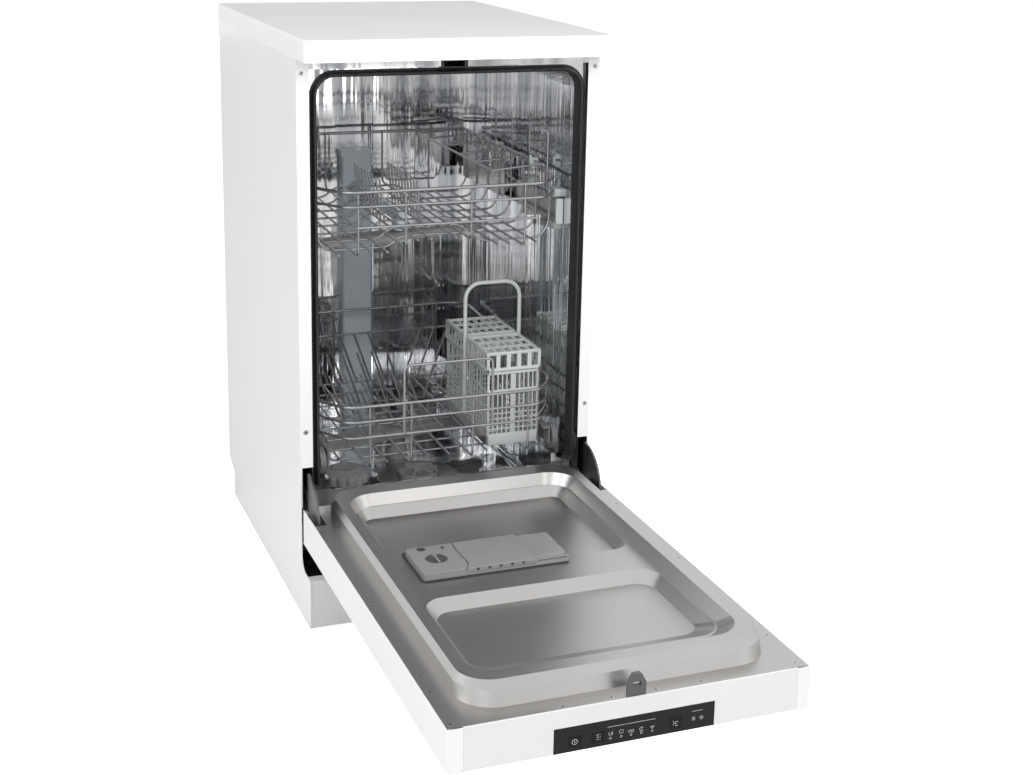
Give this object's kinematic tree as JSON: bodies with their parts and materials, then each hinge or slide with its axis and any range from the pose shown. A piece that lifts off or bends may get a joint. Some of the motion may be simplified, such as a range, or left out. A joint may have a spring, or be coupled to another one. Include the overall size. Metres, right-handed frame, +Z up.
{
  "type": "dishwasher",
  "caption": "Slim free-standing dishwasher with its door let down, two wire racks that pull out, turning spray arms, a cutlery basket and a dispenser in the door.",
  "frame": {"origin": "on the floor, under the middle of the cabinet (not of the open door)", "axes": "+Z up, -Y towards the front where the door lets down, +X to the right seen from the front"},
  "size_m": [0.448, 1.208, 0.845],
  "materials": {
    "white_enamel": "satin",
    "plinth_enamel": "satin",
    "worktop_board": "satin laminate",
    "zinc_steel": "galvanised",
    "stainless": "satin",
    "spring_steel": "oiled",
    "screw_steel": "polished",
    "gasket_rubber": "matt",
    "black_plastic": "matt",
    "dark_plastic": "fine grain",
    "grey_plastic": "fine grain",
    "light_plastic": "fine grain",
    "white_plastic": "satin",
    "duct_plastic": "satin",
    "dark_glass": "gloss",
    "rack_coating": "satin nylon over steel wire",
    "felt": "felt",
    "board_green": "lacquer"
  },
  "bodies": {
    "cabinet": {"worktop": "worktop_board", "side_panel_left": "white_enamel", "side_panel_right": "white_enamel", "rear_panel": "zinc_steel", "base_tray": "dark_plastic", "plinth": "plinth_enamel", "levelling_feet": "black_plastic", "cabinet_screws": "screw_steel", "tub": "stainless", "tub_gasket": "gasket_rubber", "door_latch": "black_plastic", "hinge_brackets": "zinc_steel", "hinge_covers": "black_plastic", "door_springs": "spring_steel", "sump": "grey_plastic", "circulation_pump": "dark_plastic", "drain_pump": "white_plastic", "softener": "white_plastic", "filter_plate": "stainless", "inlet_valve": "white_plastic", "drain_spigot": "dark_plastic", "cable_gland": "black_plastic", "air_gap_tank": "white_plastic", "feed_duct": "duct_plastic", "rail_guides": "light_plastic", "tub_felt": "felt"},
    "door": {"door_panel": "white_enamel", "door_liner": "stainless", "door_insulation": "felt", "console": "white_plastic", "control_glass": "dark_glass", "control_board": "board_green", "door_striker": "grey_plastic", "dispenser_body": "grey_plastic", "door_screws": "screw_steel", "hinge_arms": "spring_steel"},
    "detergent_lid": {"dispenser_lid": "light_plastic"},
    "rinse_dial": {"rinse_aid_dial": "dark_plastic"},
    "power_key": {"power_button": "dark_glass"},
    "program_key": {"program_button": "dark_glass"},
    "option_key": {"option_button": "dark_glass"},
    "upper_rack": {"upper_rack_frame": "rack_coating", "upper_feed_pipe": "light_plastic"},
    "rack_rails": {"rack_rail_left": "stainless", "rack_rail_right": "stainless", "rail_end_caps": "light_plastic"},
    "rollers_front": {"rack_rollers_front": "grey_plastic"},
    "rollers_rear": {"rack_rollers_rear": "grey_plastic"},
    "shelf": {"cup_shelf": "rack_coating"},
    "upper_arm": {"upper_spray_arm": "grey_plastic"},
    "lower_rack": {"lower_rack_frame": "rack_coating", "wheel_carriers": "light_plastic"},
    "front_wheels": {"wheels_front": "light_plastic"},
    "rear_wheels": {"wheels_rear": "light_plastic"},
    "basket": {"cutlery_basket": "light_plastic"},
    "front_lid": {"basket_lid_front": "light_plastic"},
    "rear_lid": {"basket_lid_rear": "light_plastic"},
    "lower_arm": {"lower_spray_arm": "grey_plastic"},
    "salt_cap": {"softener_cap": "dark_plastic"},
    "filter": {"filter_cylinder": "grey_plastic"}
  },
  "joints": [
    {"name": "door_hinge", "type": "hinge", "parent": "cabinet", "child": "door", "pos_m": [0, -0.25975, 0.16275], "axis": [-1, 0, 0], "range_deg": [0, 90]},
    {"name": "detergent_lid_slide", "type": "slide", "parent": "door", "child": "detergent_lid", "axis": [1, 0, 0], "range_m": [0, 0.042]},
    {"name": "rinse_dial_turn", "type": "hinge", "parent": "door", "child": "rinse_dial", "pos_m": [-0.11, -0.525, 0.187], "axis": [0, 0, 1], "range_deg": [0, 90]},
    {"name": "power_key_press", "type": "slide", "parent": "door", "child": "power_key", "axis": [0, 1, 0], "range_m": [0, 0.001], "stiffness_N_per_m": 400},
    {"name": "program_key_press", "type": "slide", "parent": "door", "child": "program_key", "axis": [0, 1, 0], "range_m": [0, 0.001], "stiffness_N_per_m": 400},
    {"name": "option_key_press", "type": "slide", "parent": "door", "child": "option_key", "axis": [0, 1, 0], "range_m": [0, 0.001], "stiffness_N_per_m": 400},
    {"name": "upper_rack_slide", "type": "slide", "parent": "cabinet", "child": "upper_rack", "axis": [0, 1, 0], "range_m": [-0.4, 0]},
    {"name": "rail_slide", "type": "slide", "parent": "cabinet", "child": "rack_rails", "axis": [0, 1, 0], "range_m": [-0.2, 0]},
    {"name": "front_rollers_turn", "type": "hinge", "parent": "upper_rack", "child": "rollers_front", "pos_m": [0, 0.04, 0.572], "axis": [-1, 0, 0], "range_deg": [-750, 30]},
    {"name": "rear_rollers_turn", "type": "hinge", "parent": "upper_rack", "child": "rollers_rear", "pos_m": [0, 0.2, 0.572], "axis": [-1, 0, 0], "range_deg": [-750, 30]},
    {"name": "cup_shelf_tilt", "type": "hinge", "parent": "upper_rack", "child": "shelf", "pos_m": [0.1765, 0, 0.637], "axis": [0, 1, 0], "range_deg": [0, 66]},
    {"name": "upper_arm_spin", "type": "hinge", "parent": "upper_rack", "child": "upper_arm", "pos_m": [0, 0, 0.508], "axis": [0, 0, 1], "continuous": true},
    {"name": "lower_rack_slide", "type": "slide", "parent": "cabinet", "child": "lower_rack", "axis": [0, 1, 0], "range_m": [-0.48, 0]},
    {"name": "front_wheels_turn", "type": "hinge", "parent": "lower_rack", "child": "front_wheels", "pos_m": [0, -0.2, 0.2195], "axis": [-1, 0, 0], "range_deg": [-1400, 30]},
    {"name": "rear_wheels_turn", "type": "hinge", "parent": "lower_rack", "child": "rear_wheels", "pos_m": [0, 0.15, 0.2195], "axis": [-1, 0, 0], "range_deg": [-1400, 30]},
    {"name": "basket_lift", "type": "slide", "parent": "lower_rack", "child": "basket", "axis": [0, 0, 1], "range_m": [0, 0.04]},
    {"name": "front_lid_hinge", "type": "hinge", "parent": "basket", "child": "front_lid", "pos_m": [0.118, -0.114, 0.3605], "axis": [-1, 0, 0], "range_deg": [0, 85]},
    {"name": "rear_lid_hinge", "type": "hinge", "parent": "basket", "child": "rear_lid", "pos_m": [0.118, -0.096, 0.3605], "axis": [1, 0, 0], "range_deg": [0, 85]},
    {"name": "lower_arm_spin", "type": "hinge", "parent": "cabinet", "child": "lower_arm", "pos_m": [0, 0.02, 0.172], "axis": [0, 0, 1], "continuous": true},
    {"name": "salt_cap_turn", "type": "hinge", "parent": "cabinet", "child": "salt_cap", "pos_m": [-0.108, -0.062, 0.16], "axis": [0, 0, 1], "range_deg": [0, 360]},
    {"name": "filter_turn", "type": "hinge", "parent": "cabinet", "child": "filter", "pos_m": [0.006, -0.08, 0.13], "axis": [0, 0, 1], "range_deg": [0, 90]}
  ],
  "couplings": [
    {"joint": "rail_slide", "follows": "upper_rack_slide", "ratio": 0.5},
    {"joint": "front_rollers_turn", "follows": "upper_rack_slide", "rad_per_m": 30.488},
    {"joint": "rear_rollers_turn", "follows": "upper_rack_slide", "rad_per_m": 30.488},
    {"joint": "front_wheels_turn", "follows": "lower_rack_slide", "rad_per_m": 50},
    {"joint": "rear_wheels_turn", "follows": "lower_rack_slide", "rad_per_m": 50}
  ]
}
